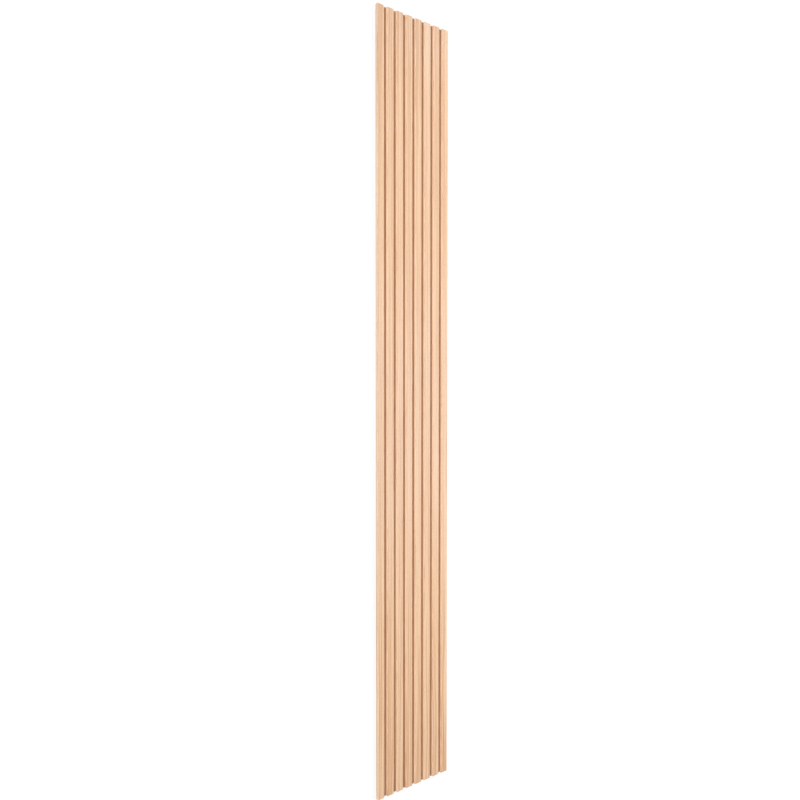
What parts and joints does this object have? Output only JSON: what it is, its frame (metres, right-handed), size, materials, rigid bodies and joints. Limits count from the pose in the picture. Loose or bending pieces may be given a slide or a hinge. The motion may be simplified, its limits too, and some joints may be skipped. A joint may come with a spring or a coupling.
{
  "type": "slatted wall panel",
  "caption": "Long flat wall panel with straight raised slats and tapered grooves running its full length, square-cut ends and a plain flat back.",
  "frame": {"origin": "centre of the flat back face, which is the face the panel lies on", "axes": "+X across the slats, +Y along the slats, up the wall once the panel is fixed, +Z out of the slatted face"},
  "size_m": [0.3, 2.7, 0.012],
  "materials": {
    "panel_wood": "pale straight-grained oak tone, matt"
  },
  "bodies": {
    "root": {"slat_panel": "panel_wood"}
  },
  "joints": []
}
